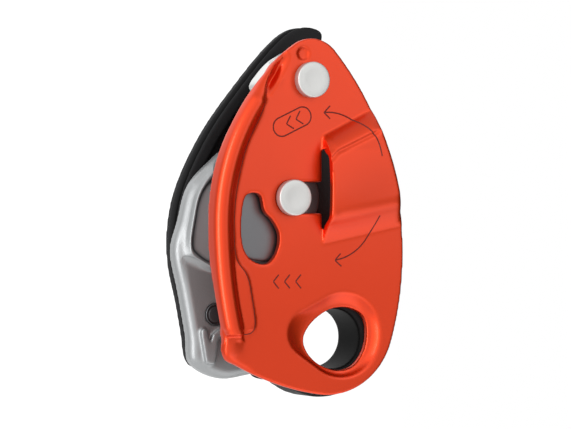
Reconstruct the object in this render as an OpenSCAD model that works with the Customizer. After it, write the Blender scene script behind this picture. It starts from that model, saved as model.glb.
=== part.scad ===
// Belay device with an assisted-braking cam: two side plates on a common axle,
// a sprung rope cam between them, and a folding release handle behind.
// Millimetres. +X right, +Y from the swinging plate towards the handle, +Z up.
// The origin is on the attachment hole's axis, half way between the plates.
// Profiles are drawn in the X-Z plane and given their depth along Y.

/* [Plates] */
// clear distance between the two side plates
gap = 13.6; // [12.5:0.1:15]
// thickness of the swinging plate's sheet
sheet = 2.2; // [1.8:0.1:2.6]
// thickness of the fixed plate
fixed_t = 2.5; // [2:0.1:3.5]
// how far the fixed plate's edge is turned back behind it
rim_depth = 2.2; // [1:0.1:4]
// width of the turned edge
rim_w = 2.6; // [2:0.1:3.5]
// height of the raised pad in front of the fixed plate
pad_h = 2.0; // [1:0.1:2.5]
// height of the forked rope stop
fork_h = 1.5; // [0.8:0.1:2]
// side clearance between pieces that pass each other
pass = 0.4; // [0.3:0.05:0.6]
// radial running clearance of the turning pieces
fit = 0.05; // [0.02:0.01:0.1]

/* [Axles] */
// cam axle, across
cam_x = -15.05; // [-18:0.05:-12]
// cam axle, up
cam_z = 37.75; // [36:0.05:40]
// side plate axle, across
pivot_x = -9.45; // [-11:0.05:-8]
// side plate axle, up
pivot_z = 69.0; // [67:0.05:71]
// radius of both rivet heads
head_r = 4.75; // [4:0.05:5]
// height of both rivet heads
head_h = 2.3; // [1.5:0.1:2.6]
// radius of the side plate axle
pivot_r = 3.0; // [2.5:0.05:3.3]
// radius of the cam axle between the plates
cam_axle_r = 4.0; // [3.5:0.05:4.2]
// radius of the cam axle's neck in the swinging plate's slot
neck_r = 3.3; // [2.8:0.05:3.5]

/* [Swinging plate] */
// radius of the round top
top_r = 9; // [8:0.1:10]
// radius of the lower right curve
toe_r = 19.7; // [17:0.1:22]
// radius of the lower left corner
heel_r = 4.2; // [3.5:0.1:6]
// radius of the lower part of the left edge
flank_r = 124; // [110:1:140]
// width of the rolled lip
lip_w = 4.8; // [4.6:0.1:5.4]
// height of the lip's crest above the plate
lip_h = 4.0; // [3:0.1:4.5]
// height of the raised strip beside the lip
strip_h = 0.4; // [0.2:0.05:0.6]
// height of the slot that passes the cam axle's neck
slot_w = 8.2; // [7.6:0.1:9]
// left edge of the tunnel
lance_x = -5.8; // [-6.5:0.1:-5]
// depth of the dished rim round the attachment hole
dish_h = 1.9; // [1:0.1:2]
// radius of the dimple at the top
dimple_r = 1.75; // [1:0.05:2]

/* [Attachment] */
// radius of the round attachment hole
hole_r = 8.0; // [7.4:0.1:8.1]
// wall of the liner in the fixed plate
liner_w = 2.0; // [1.5:0.1:2.4]

/* [Cam] */
// radius at the bottom of the rope groove
groove_r = 8.5; // [8:0.1:9]
// radius of the groove's round section
rope_r = 5.4; // [5:0.1:6]
// wall of the bush between the cam and its axle
bush_w = 1.2; // [0.8:0.1:1.5]
// radius of the journal that carries the cam in the fixed plate
journal_r = 6.6; // [6.4:0.05:7]
// distance across the journal's flats inside the release arm
tang_w = 11.4; // [11:0.1:12]

/* [Release handle] */
// thickness of the release arm
arm_t = 2.0; // [1.5:0.1:2.5]
// radius of the arm round the cam axle
arm_hub_r = 10; // [9:0.1:11]
// radius of the arm round the handle's hinge
arm_end_r = 5.6; // [5:0.1:6]
// handle hinge, across
hinge_x = -31; // [-32:0.1:-30]
// handle hinge, up
hinge_z = 16; // [15:0.1:17]
// radius of the hinge pin
hinge_r = 2.5; // [2:0.05:2.8]
// thickness of the handle's web at the hinge
ear_t = 4.2; // [3.8:0.1:5]

/* [Springs] */
// wire radius of the cam's return spring
cam_wire_r = 0.45; // [0.35:0.01:0.5]
// mean radius of its turns
cam_coil_r = 8.2; // [7.8:0.05:8.6]
// wire radius of the handle's return spring
handle_wire_r = 0.4; // [0.3:0.01:0.45]
// mean radius of its turns
handle_coil_r = 5.0; // [4.8:0.05:5.2]

/* [Hidden] */
$fn = 96;
pivot = [pivot_x, pivot_z];
axle = [cam_x, cam_z];
hinge = [hinge_x, hinge_z];
hole = [0, 0];
hair = 0.01;

// levels along Y, from the front to the back
moving_in = -gap / 2;
moving_out = moving_in - sheet;
head_under = moving_out - 0.3;
head_top = head_under - head_h;
bump_in = head_top - pass;
bump_out = bump_in - sheet;
lip_top = moving_out - lip_h;
fixed_in = gap / 2;
fixed_out = fixed_in + fixed_t;
pad_y = fixed_in - pad_h;
cam_front = moving_in + pass + 0.5;
cam_back = pad_y - pass;
rim_back = fixed_out + rim_depth;
arm_front = rim_back + pass;
arm_back = arm_front + arm_t;
ear_front = arm_back + pass;
handle_back = ear_front + ear_t;
spring_seat = fixed_out - 1.2;
sleeve_r = pivot_r + 2;
bush_r = cam_axle_r + fit + bush_w;
liner_r = hole_r + liner_w;

// plane helpers: arcs, smooth closed curves and outlines moved sideways
function angle(p) = atan2(p.y, p.x);
function polar(c, r, a) = c + r * [cos(a), sin(a)];
function arc(c, r, a, b, n = 14) = [for (i = [0:n]) polar(c, r, a + (b - a) * i / n)];
function lead(c, r, a, b, n = 14) = [for (i = [0:n - 1]) polar(c, r, a + (b - a) * i / n)];
function meet(c, r, d, s, side) =
    let (l = norm(d - c), u = (d - c) / l, a = (r * r - s * s + l * l) / (2 * l))
    c + a * u + side * sqrt(r * r - a * a) * [-u.y, u.x];
function pass_by(a, b, c, d, t) =
    0.5 * (2 * b + (c - a) * t + (2 * a - 5 * b + 4 * c - d) * t * t
    + (3 * b - a - 3 * c + d) * t * t * t);
function at(p, i) = p[(i + len(p)) % len(p)];
function smooth(p, n = 5) = [for (i = [0:len(p) - 1]) for (k = [0:n - 1])
    pass_by(at(p, i - 1), p[i], at(p, i + 1), at(p, i + 2), k / n)];
function moved(p, d) = [for (i = [0:len(p) - 1])
    let (t = at(p, i + 1) - at(p, i - 1)) p[i] + d * [t.y, -t.x] / norm(t)];
function egg(c, r, d, s) =
    let (a = angle(d - c), b = acos((r - s) / norm(d - c)))
    concat(arc(c, r, a + b, a - b + 360, 28), arc(d, s, a - b, a + b, 12));

// solid helpers: a profile between two levels, a rod along Y, a part turn round Y
module slab(y0, y1) translate([0, y1, 0]) rotate([90, 0, 0])
    linear_extrude(y1 - y0) children();
module rod(p, r, y0, y1) translate([p.x, y1, p.y]) rotate([90, 0, 0])
    cylinder(r = r, h = y1 - y0);
module tube(p, r, bore, y0, y1) difference() {
    rod(p, r, y0, y1);
    rod(p, bore, y0 - 1, y1 + 1);
}
module turned(c, a, b) translate([c.x, 0, c.y]) rotate([90, 0, 0]) rotate([0, 0, a])
    rotate_extrude(angle = b - a) children();
module bar(p, q, w) polygon(let (a = angle(q - p))
    concat(arc(p, w / 2, a + 90, a + 270), arc(q, w / 2, a - 90, a + 90)));
module rivet_head(p, r, y_under, y_top, chamfer) {
    s = sign(y_top - y_under);
    translate([p.x, y_under, p.y]) rotate([-90 * s, 0, 0]) {
        h = abs(y_top - y_under);
        cylinder(r = r, h = h - chamfer);
        translate([0, 0, h - chamfer]) cylinder(r1 = r, r2 = r - chamfer, h = chamfer);
    }
}

// outline of the swinging plate: tangent arcs
top_c = [-8.6, 71.05];
right_c = [-62.1, 23];
left_c = [18.6, 31.2];
base_r = 74.2;
base_low = [4.65, -15.4];
base_c = base_low + [0, base_r];
right_r = norm(top_c - right_c) + top_r;
left_r = norm(top_c - left_c) + top_r;
flank_c = left_c + [flank_r - left_r, 0];
heel_c = meet(flank_c, flank_r - heel_r, base_c, base_r - heel_r, 1);
toe_c = meet(right_c, right_r - toe_r, base_c, base_r - toe_r, -1);
plate_edge = concat(
    lead(right_c, right_r, angle(toe_c - right_c), angle(top_c - right_c), 24),
    lead(top_c, top_r, angle(top_c - right_c), angle(top_c - left_c)),
    lead(left_c, left_r, angle(top_c - left_c), 180, 20),
    lead(flank_c, flank_r, 180, 360 + angle(heel_c - flank_c)),
    lead(heel_c, heel_r, 360 + angle(heel_c - flank_c), 360 + angle(heel_c - base_c), 8),
    lead(base_c, base_r, 360 + angle(heel_c - base_c), 360 + angle(toe_c - base_c), 16),
    lead(toe_c, toe_r, 360 + angle(toe_c - base_c), 360 + angle(toe_c - right_c), 16));

// lip: where its even stretch starts and its ridge ends, and the width and height of its tail on
// the way up; both of its arcs are turned from the level of their common tangent, where they meet.
// Below lip_low only a ridge of heel_h is left of it, and its hollow stops above that.
lip_a = 144;
lip_end_a = 196.6;
hollow_end_a = 193.2;
lip_low = 0.45;
heel_h = 0.8;
lip_wall = sheet - 0.3;
lip_tail = [[137.5, 2.2, 1.9], [129.5, 0.8, 0.6]];

// tunnel: creases and ridges at its left mouth and their rise to the right
tunnel_run = 30;
crease_top = [53.8, 0.54];
ridge_top = [50.2, 0.46];
ridge_low = [31.2, 0.195];
crease_low = [24.5, 0.197];
ridge_r = 2.4;
ridge_in_r = 1.6;
tunnel_end = 2.6;

window_edge = smooth([[-26.2, 39], [-28.7, 37.6], [-29.7, 31], [-29.1, 24.7], [-26.5, 21.2],
    [-22.3, 20.3], [-19.4, 23], [-18.4, 27.6], [-20.3, 31.5], [-22.9, 34.2], [-23.9, 38]]);
strip_edge = smooth([[-23.9, 60.5], [-28.4, 51.2], [-31.7, 38.3], [-32.2, 30], [-31.4, 21.9],
    [-28.2, 17.3], [-26.9, 11.3], [-25.9, 4.6], [-27.6, 2.2], [-30.5, 2.4], [-33.6, 18],
    [-34.9, 33], [-32.4, 47.5], [-26.4, 60]]);
dish_edge = egg([0.3, 1.1], 11.4, [-10.2, 1.9], 6.1);
eye_edge = smooth([[8.7, 2.5], [7.3, 6.3], [3, 8.3], [-1.5, 8.2], [-5.5, 6.4], [-8.8, 3.5],
    [-10.4, 0.3], [-9.6, -2.8], [-7.2, -5.6], [-3.6, -7.6], [1, -8.4], [5.2, -6.8], [8.1, -2.6]]);
eye_floor = -1.2;
liner_chamfer = 1;

fixed_edge = smooth([[13.4, 0], [15, 12], [14.6, 26], [12.5, 42], [8, 56], [1, 67],
    [-1.4, 74], [-7.8, 77.2], [-12.6, 74.4], [-16.6, 69.6], [-20, 61], [-25.6, 51.8],
    [-35.8, 41.8], [-39.3, 31.3], [-41.3, 23.3], [-39.1, 12.6], [-36.9, 1], [-35.8, -6.6],
    [-27.4, -10.7], [-16.5, -9.6], [-8, -11.3], [2, -13.2], [10, -9]]);
pad_edge = smooth([[-25.6, 49], [-33.8, 40], [-36.4, 31], [-37.2, 24.5], [-35.6, 21.2],
    [-30, 18.4], [-26.5, 20.5], [-25, 34]]);
pad_foot = smooth([[-24.8, 51], [-34.8, 41], [-38, 31], [-39.5, 23.6], [-37.6, 18.4],
    [-30, 15.8], [-25.4, 18.6], [-24, 34]]);
pad_well = smooth([[-26.4, 46], [-32.8, 39.3], [-35, 31], [-35.7, 25.3], [-34.4, 22.8],
    [-30, 20.4], [-27.6, 23], [-26.6, 34]]);
fork = [[[-33.6, 2], [-32.3, -5.6]], [[-30.3, 0.8], [-31.3, -5.8]], [[-28.6, 2], [-30.3, 0.8]]];

friction_edge = smooth([[-18.2, 70.6], [-20, 67], [-16, 63], [-10, 60], [-3.5, 61.3],
    [-0.6, 66.5], [-1.4, 73], [-7.6, 76.6], [-13.3, 75.2]]);
friction_in = smooth([[-16.5, 70], [-17.8, 67.2], [-14.9, 65], [-10, 62.1], [-4.8, 63.1],
    [-2.6, 67], [-3.4, 72], [-7.8, 74.6], [-12.2, 73.5]]);
friction_t = 2;
friction_pin_y = fixed_in - friction_t + 0.4;

cam_reach = [[0, 12], [40, 11.6], [75, 11], [98, 11.6], [122, 15.6], [148, 19], [168, 17],
    [188, 15.6], [210, 18.6], [230, 20], [250, 18.2], [275, 15.2], [310, 12.4]];
cam_edge = smooth([for (p = cam_reach) polar(axle, p[1], p[0])]);

spacer_out = 0.8;
spacer_edge = smooth([[-15.2, -15], [-16, -7.6], [-13.6, 0.8], [-11, 8], [-3.2, 13.6],
    [6.6, 12.4], [12.6, 4.4], [13.2, -4], [10.5, -11], [8, -21], [-15, -21]]);

handle_edge = smooth([[4.6, 83.6], [-1.8, 84.3], [-8.7, 79.9], [-18.7, 68.8], [-28.7, 55.8],
    [-36, 42], [-38.8, 31.3], [-38.9, 20.5], [-36.5, 9.5], [-34.9, 1], [-33.9, -5.4],
    [-31.2, -8], [-28.6, -4.5], [-27, 4.5], [-24.4, 11.5], [-24.2, 19], [-26.4, 28], [-25.6, 38],
    [-21.5, 48.5], [-13.5, 60.5], [-5, 71], [4.2, 79.6]], 4);

handle_web = smooth([[-1.2, 80.3], [-6.8, 76.5], [-16.2, 66.6], [-25.9, 54], [-33.1, 40.8],
    [-35.7, 31], [-35.9, 20.5], [-33.2, 8], [-31.9, 0], [-30.3, 3.5], [-27.6, 13], [-27.4, 19.5],
    [-29.6, 28], [-28.8, 38.6], [-24.2, 50], [-16, 62.2], [-8, 72]], 4);

stop_post = [-29.7, 6.6];
stop_r = 3.0;
friction_rivets = [[-15.6, 65.5], [-2.9, 71.2]];
small_rivet_r = 1.5;
small_head_r = small_rivet_r + 0.4;
rivet_ring_r = liner_r + small_rivet_r + 0.35;
spacer_rivets_at = [[-11.6, -6.2], polar(hole, rivet_ring_r, -41), polar(hole, rivet_ring_r, 82)];

// one unbroken round wire through a list of points
wire_sides = 6;
function wire_ring(p, r, i) =
    let (t = p[min(i + 1, len(p) - 1)] - p[max(i - 1, 0)], k = t / norm(t))
    let (u = cross(k, abs(k.y) > 0.9 ? [1, 0, 0] : [0, 1, 0]), e = u / norm(u), f = cross(k, e))
    [for (s = [0:wire_sides - 1]) p[i] + r * (e * cos(360 * s / wire_sides)
        + f * sin(360 * s / wire_sides))];
module wire(p, r) {
    last = (len(p) - 1) * wire_sides;
    polyhedron(
        [for (i = [0:len(p) - 1]) each wire_ring(p, r, i)],
        concat(
            [[for (s = [0:wire_sides - 1]) wire_sides - 1 - s]],
            [for (i = [0:len(p) - 2]) for (s = [0:wire_sides - 1])
                let (a = i * wire_sides + s, b = i * wire_sides + (s + 1) % wire_sides)
                [a, b, b + wire_sides, a + wire_sides]],
            [[for (s = [0:wire_sides - 1]) last + s]]));
}
function coil(c, r, y0, pitch, a, b) = [for (i = [0:round((b - a) / 15)])
    let (d = a + 15 * i, q = polar(c, r, d)) [q.x, y0 + pitch * (d - a) / 360, q.y]];

// cam spring: turns round the journal, one leg in the fixed plate, one on the arm
cam_pitch = 2 * cam_wire_r + 0.5;
cam_turns = 560;
cam_coil_y = spring_seat + cam_wire_r + 0.15;
cam_wire = concat(
    [for (d = [2.2, 1.1]) let (q = polar(axle, cam_coil_r + d, -64)) [q.x, cam_coil_y, q.y]],
    coil(axle, cam_coil_r, cam_coil_y, cam_pitch, -60, cam_turns));

// handle spring: turns round the hinge bush inside the handle's web
handle_pitch = 2 * handle_wire_r + 0.5;
handle_turns = 500;
handle_coil_y = ear_front + handle_wire_r + 0.2;
handle_wire = coil(hinge, handle_coil_r, handle_coil_y, handle_pitch, 0, handle_turns);

// least gap of a wire to itself, between its points half a turn or more apart
function self_gap(p, r) = min([for (i = [0:len(p) - 13]) for (j = [i + 12:len(p) - 1])
    norm(p[j] - p[i])]) - 2 * r;
echo(str("cam spring: least gap to itself ", self_gap(cam_wire, cam_wire_r), " mm"));
echo(str("handle spring: least gap to itself ", self_gap(handle_wire, handle_wire_r), " mm"));

// Swinging side plate: one pressed sheet with a rolled lip for the brake rope, a lanced
// tunnel that lets the cam axle's head pass, and a dished rim round the attachment hole.
module lip_section(r) {
    translate([r - lip_w / 2, -lip_top - lip_w / 2]) circle(lip_w / 2);
    translate([r - lip_w, -moving_in]) square([lip_w, moving_in - lip_top - lip_w / 2]);
}
module lip_hollow(r) {
    w = lip_w - 2 * lip_wall;
    translate([r - lip_w / 2, -lip_top - lip_w / 2]) circle(w / 2);
    translate([r - lip_w / 2 - w / 2, -moving_in - 1])
        square([w, moving_in - lip_top - lip_w / 2 + 1]);
}
module tail_slice(t) {
    w = t[1];
    y = moving_out - t[2] + w / 2;
    translate([left_c.x, 0, left_c.y]) rotate([0, -t[0], 0]) translate([left_r - 0.07 - w / 2, 0, 0])
        linear_extrude(hair) {
            translate([0, y]) circle(w / 2, $fn = 32);
            translate([-w / 2, y]) square([w, moving_out + 0.6 - y]);
        }
}
module lip_tail() {
    steps = concat([[lip_a + 0.4, lip_w - 0.14, lip_h - 0.07]], lip_tail);
    for (i = [1:len(steps) - 1]) hull() {
        tail_slice(steps[i - 1]);
        tail_slice(steps[i]);
    }
}
module lip_gap(r) translate([r - lip_w + 1, -moving_in - 1]) square([20, sheet + 2]);
module tunnel_slice(x, lift, r, inset_top, inset_low) {
    function at_x(l, d) = l[0] + l[1] * (x - lance_x) + d;
    for (l = [at_x(ridge_top, -inset_top), at_x(ridge_low, inset_low)])
        translate([x, lift + r, l]) rotate([0, 90, 0]) cylinder(r = r, h = hair, $fn = 32);
}
module tunnel_foot(x, y, inset_top, inset_low) {
    top = crease_top[0] + crease_top[1] * (x - lance_x) - inset_top;
    low = crease_low[0] + crease_low[1] * (x - lance_x) + inset_low;
    translate([x, y - hair, low]) cube([hair, hair, top - low]);
}
module tunnel_outside() hull() for (x = [lance_x, lance_x + tunnel_run]) {
    tunnel_slice(x, bump_out, ridge_r, ridge_r, ridge_r);
    tunnel_foot(x, moving_out + 0.5, 0, 0);
}
module tunnel_inside() hull() for (x = [lance_x - hair, lance_x + tunnel_run + 1]) {
    tunnel_slice(x, bump_in, ridge_in_r, ridge_in_r + 1, ridge_in_r + 0.5);
    tunnel_foot(x, moving_in + 0.5, 0.9, 0.8);
}
module moving_side_plate() color([0.85, 0.2, 0.1]) difference() {
    union() {
        difference() {
            slab(moving_out, moving_in) polygon(plate_edge);
            turned(left_c, 180, lip_a) lip_gap(left_r);
            turned(flank_c, 180, lip_end_a) lip_gap(flank_r);
        }
        slab(moving_out - strip_h, moving_out + 0.5) polygon(strip_edge);
        turned(left_c, 180, lip_a) lip_section(left_r);
        difference() {
            turned(flank_c, 180, lip_end_a) lip_section(flank_r);
            translate([-50, lip_top - 1, lip_low - 20]) cube([28, lip_h + 1 - heel_h, 20]);
        }
        lip_tail();
        intersection() {
            tunnel_outside();
            hull() {
                slab(bump_out - 1, bump_out - 0.9) polygon(moved(plate_edge, -tunnel_end));
                slab(moving_out, moving_in - 0.2) polygon(moved(plate_edge, -0.05));
            }
        }
        hull() {
            slab(moving_in - 0.5, moving_in) polygon(moved(dish_edge, 1));
            slab(moving_in + dish_h - hair, moving_in + dish_h) polygon(moved(eye_edge, 1.6));
        }
    }
    turned(left_c, 180, lip_a) lip_hollow(left_r);
    turned(flank_c, 180, hollow_end_a) lip_hollow(flank_r);
    tunnel_inside();
    slab(moving_out - 1, moving_in + 1) bar(axle, [lance_x, cam_z], slot_w);
    slab(moving_out - 1, moving_in + 1) polygon(window_edge);
    hull() {
        slab(moving_out - 0.2, moving_out) polygon(dish_edge);
        slab(moving_out + dish_h - hair, moving_out + dish_h) polygon(moved(eye_edge, 0.4));
    }
    slab(moving_out - 1, moving_in + 4) polygon(eye_edge);
    rod([-11.5, 75.9], dimple_r, moving_out - 1, moving_out + 0.6);
    rod(pivot, pivot_r + fit, moving_out - 1, moving_in + 1);
}

// Fixed side plate: forged, with a turned-back edge on the left, a raised pad with a bare
// sunk panel, a forked rope stop, and a seat for the cam spring on the back.
module fixed_side_plate() color([0.55, 0.55, 0.56]) difference() {
    union() {
        slab(fixed_in, fixed_out) polygon(fixed_edge);
        slab(fixed_out, rim_back) intersection() {
            difference() {
                polygon(fixed_edge);
                polygon(moved(fixed_edge, -rim_w));
            }
            translate([-50, -20]) square([27, 70]);
        }
        hull() {
            slab(pad_y, pad_y + 0.3) polygon(pad_edge);
            slab(fixed_in, fixed_in + 0.5) polygon(pad_foot);
        }
        slab(fixed_in - fork_h, fixed_in) for (f = fork) bar(f[0], f[1], 1.9);
    }
    slab(pad_y - 1, pad_y + 0.7) polygon(pad_well);
    rod(pivot, pivot_r, fixed_in - 1, fixed_out + 1);
    rod(axle, journal_r + fit, fixed_in - 1, fixed_out + 1);
    rod(axle, cam_coil_r + 2.8, spring_seat, fixed_out + 1);
    rod(hole, liner_r, fixed_in - 1, fixed_out + 1);
    rod(stop_post, stop_r, pad_y, fixed_out + 1);
    for (p = friction_rivets) rod(p, small_rivet_r, fixed_in - 1, fixed_out + 1);
    for (p = spacer_rivets_at) rod(p, small_rivet_r, fixed_in - 1, fixed_out + 1);
}

// Side plate axle: a headed rivet, closed over a washer behind the fixed plate.
module side_plate_axle() color([0.8, 0.8, 0.8]) {
    rivet_head(pivot, head_r, moving_out - 0.05, moving_out - 0.05 - head_h, 0.35);
    rod(pivot, pivot_r, moving_out - 0.05, fixed_out + 0.7);
    rivet_head(pivot, head_r - 0.6, fixed_out + 0.7, fixed_out + 1.9, 0.5);
}

// Washer under the closed end of the side plate axle.
module axle_washer() color([0.7, 0.7, 0.7])
    tube(pivot, head_r, pivot_r, fixed_out, fixed_out + 0.7);

// Sleeve that holds the plates apart on the side plate axle.
module pivot_sleeve() color([0.7, 0.7, 0.72])
    tube(pivot, sleeve_r, pivot_r, moving_in + 0.8, fixed_in);

// Plain washer between the sleeve and the swinging plate.
module pivot_washer() color([0.1, 0.1, 0.1])
    tube(pivot, sleeve_r + 0.6, pivot_r, moving_in + 0.1, moving_in + 0.8);

// Friction plate: bent wear plate that the brake rope is pinched against.
module friction_plate() color([0.75, 0.75, 0.76]) difference() {
    union() {
        slab(fixed_in - friction_t, fixed_in) polygon(friction_edge);
        slab(moving_in + 0.9, fixed_in) difference() {
            polygon(friction_edge);
            polygon(friction_in);
            polygon([[-15, 85], [-15, 70], [10, 66.5], [10, 85]]);
        }
    }
    rod(pivot, sleeve_r, moving_in, fixed_in + 1);
    for (p = friction_rivets) rod(p, small_rivet_r, friction_pin_y, fixed_in + 1);
}

// Rivets of the friction plate: set blind in its back.
module friction_plate_rivets() color([0.7, 0.7, 0.7]) for (p = friction_rivets) {
    rod(p, small_rivet_r, friction_pin_y, fixed_out);
    rivet_head(p, small_head_r, fixed_out, fixed_out + 0.8, 0.3);
}

// Cam: rope groove round its right side, nose on the left that rises when the rope jerks,
// journal through the fixed plate with two flats for the release arm.
module cam_tang(y0, y1, slack) difference() {
    rod(axle, journal_r + slack, y0, y1);
    for (s = [-1, 1]) translate([cam_x, 0, cam_z]) rotate([0, 35, 0])
        translate([s * (tang_w / 2 + slack + 5), (y0 + y1) / 2, 0])
        cube([10, y1 - y0 + 2, 30], center = true);
}
module cam() color([0.6, 0.6, 0.6]) difference() {
    union() {
        slab(cam_front, cam_back) polygon(cam_edge);
        rod(axle, journal_r, cam_back, arm_front - 0.1);
        cam_tang(arm_front - 0.1, arm_back, 0);
    }
    turned(axle, -75, 88)
        translate([groove_r + rope_r, -(cam_front + cam_back) / 2]) circle(rope_r);
    rod(axle, bush_r, cam_front - 1, arm_back + 1);
}

// Bush between the cam and its axle.
module cam_bush() color([0.7, 0.55, 0.3])
    tube(axle, bush_r, cam_axle_r + fit, cam_front, arm_back);

// Thrust ring between the cam and the fixed plate.
module cam_thrust_ring() color([0.1, 0.1, 0.1])
    tube(axle, journal_r + 2.2, journal_r + fit, cam_back + 0.05, fixed_in - 0.05);

// Cam axle: headed rivet with a neck in the swinging plate's slot.
module cam_axle() color([0.8, 0.8, 0.8]) {
    rivet_head(axle, head_r, head_under, head_top, 0.35);
    rod(axle, neck_r, head_under, cam_front - 0.1);
    rod(axle, cam_axle_r, cam_front - 0.1, arm_back + 0.9);
    rivet_head(axle, cam_axle_r + 2, arm_back + 0.9, arm_back + 2.4, 0.6);
}

// Washer between the release arm and the closed end of the cam axle.
module arm_washer() color([0.7, 0.7, 0.7])
    tube(axle, arm_hub_r - 2.4, cam_axle_r, arm_back + 0.1, arm_back + 0.9);

// Cam spring: turns the cam back to its open position.
module cam_spring() color([0.6, 0.6, 0.62]) wire(cam_wire, cam_wire_r);

// Release arm: steel, fixed on the cam's journal behind the fixed plate.
module release_arm() color([0.65, 0.65, 0.66]) difference() {
    slab(arm_front, arm_back) polygon(egg(axle, arm_hub_r, hinge, arm_end_r));
    cam_tang(arm_front - 1, arm_back + 1, 0.02);
    rod(hinge, hinge_r, arm_front - 1, arm_back + 1);
}

// Stop pin: riveted in the fixed plate, the arm comes to rest against its post.
module cam_stop_pin() color([0.12, 0.12, 0.12]) {
    rivet_head(stop_post, stop_r, fixed_out, fixed_in - 0.3, 0.5);
    rod(stop_post, stop_r - 0.4, fixed_out, arm_back);
}

// Handle: moulded lever along the left edge with a bead round it, hooked over the top. Its
// front is cut back where the arm and the stop pin's post pass while it unfolds.
module arm_sweep() {
    post_d = norm(stop_post - hinge);
    polygon(concat([hinge], arc(hinge, norm(axle - hinge) + arm_hub_r + 0.5, -150, 78, 40)));
    polygon(egg(axle, arm_hub_r + 0.3, hinge, arm_end_r + 0.6));
    polygon(concat(arc(hinge, post_d - stop_r, 150, 212), arc(hinge, post_d + stop_r, 212, 150)));
}
module handle_body() color([0.1, 0.1, 0.1]) difference() {
    slab(arm_front, handle_back) polygon(handle_edge);
    slab(arm_front - 1, ear_front) {
        polygon(handle_web);
        arm_sweep();
    }
    rod(hinge, hinge_r + fit + 1.2, arm_front, handle_back + 1);
    rod(hinge, handle_coil_r + 0.8, arm_front, ear_front + 3);
    rod(axle, arm_hub_r + 0.6, arm_front - 1, handle_back + 1);
}

// Bush in the handle on the hinge pin.
module hinge_bush() color([0.7, 0.55, 0.3])
    tube(hinge, hinge_r + fit + 1.2, hinge_r + fit, ear_front, handle_back);

// Hinge pin: riveted in the release arm.
module handle_hinge_pin() color([0.75, 0.75, 0.75]) {
    rod(hinge, hinge_r, arm_front, handle_back + 0.2);
    rivet_head(hinge, hinge_r + 2.4, handle_back + 0.2, handle_back + 1.6, 0.6);
}

// Handle spring: folds the handle back against the device.
module handle_spring() color([0.6, 0.6, 0.62]) wire(handle_wire, handle_wire_r);

// Attachment spacer: fills the gap round the attachment hole and lines the fixed plate's hole.
module attachment_spacer() color([0.07, 0.07, 0.07]) difference() {
    union() {
        slab(moving_in + dish_h + 0.5, fixed_in) intersection() {
            polygon(spacer_edge);
            polygon(moved(plate_edge, spacer_out));
        }
        slab(moving_in + dish_h + 0.5, moving_in + dish_h + 2) intersection() {
            bar([-22.4, -8.6], [-10, -10.6], 5);
            polygon(moved(plate_edge, spacer_out));
        }
        rod(hole, liner_r, fixed_in, fixed_out);
    }
    slab(moving_in, eye_floor) intersection() {
        polygon(moved(eye_edge, 0.5));
        translate([-20, -20]) square([17, 40]);
    }
    rod(hole, hole_r, moving_in, fixed_out + 1);
    translate([hole.x, fixed_out - liner_chamfer, hole.y]) rotate([-90, 0, 0])
        cylinder(r1 = hole_r, r2 = hole_r + 2 * liner_chamfer, h = 2 * liner_chamfer);
    for (p = spacer_rivets_at) rod(p, small_rivet_r, fixed_in - 7, fixed_in + 1);
}

// Rivets of the attachment spacer.
module spacer_rivets() color([0.7, 0.7, 0.7]) for (p = spacer_rivets_at) {
    rod(p, small_rivet_r, fixed_in - 7, fixed_out);
    rivet_head(p, small_head_r, fixed_out, fixed_out + 0.8, 0.3);
}

moving_side_plate();
fixed_side_plate();
side_plate_axle();
axle_washer();
pivot_sleeve();
pivot_washer();
friction_plate();
friction_plate_rivets();
cam();
cam_bush();
cam_thrust_ring();
cam_axle();
arm_washer();
cam_spring();
release_arm();
cam_stop_pin();
handle_body();
hinge_bush();
handle_hinge_pin();
handle_spring();
attachment_spacer();
spacer_rivets();
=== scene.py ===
# Belay device with an assisted-braking cam, dressed for a studio picture from the front left.
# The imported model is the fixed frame. Sections follow the order in which the device is put
# together; lengths are in millimetres until a piece is set in place.
import math

import bmesh
import bpy
import numpy as np
from mathutils import Matrix, Vector
from mathutils.bvhtree import BVHTree


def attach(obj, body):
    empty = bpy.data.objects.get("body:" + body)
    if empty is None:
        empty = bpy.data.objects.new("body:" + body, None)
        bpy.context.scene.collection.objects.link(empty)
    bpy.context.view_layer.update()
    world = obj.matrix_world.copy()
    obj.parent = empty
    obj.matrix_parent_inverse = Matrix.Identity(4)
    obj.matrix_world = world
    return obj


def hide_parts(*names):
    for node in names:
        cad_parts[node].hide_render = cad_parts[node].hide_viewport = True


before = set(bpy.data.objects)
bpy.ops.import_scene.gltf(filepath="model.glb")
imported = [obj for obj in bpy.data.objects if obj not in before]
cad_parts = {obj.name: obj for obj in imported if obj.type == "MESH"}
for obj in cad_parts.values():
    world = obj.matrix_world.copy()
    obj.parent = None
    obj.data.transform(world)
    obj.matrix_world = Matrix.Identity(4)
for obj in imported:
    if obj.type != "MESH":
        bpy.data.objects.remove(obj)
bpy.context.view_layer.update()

# Fixed side plate: the body of the device, which carries every other piece. Hot-forged aluminium
# with round edges, a raised pad with a sunk panel and a forked rope stop, bead-blasted and clear
# anodised.
FIXED_EDGE = [
    (13.4, 0), (15, 12), (14.6, 26), (12.5, 42), (8, 56), (1, 67), (-1.4, 74), (-7.8, 77.2),
    (-12.6, 74.4), (-16.6, 69.6), (-20, 61), (-25.6, 51.8), (-35.8, 41.8), (-39.3, 31.3),
    (-41.3, 23.3), (-39.1, 12.6), (-36.9, 1), (-35.8, -6.6), (-27.4, -10.7), (-16.5, -9.6),
    (-8, -11.3), (2, -13.2), (10, -9)]
PAD_WELL = [
    (-26.4, 46), (-32.8, 39.3), (-35, 31), (-35.7, 25.3), (-34.4, 22.8), (-30, 20.4), (-27.6, 23),
    (-26.6, 34)]
FIXED_FACE = 6.8
FACE_PLAY = 0.12
FORGED_ROUND = 2.4
PAD_BACK = 6.2
PANEL_EDGE_OUT = 1.7
PAD_EDGE_LIFT = 0.4


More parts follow.
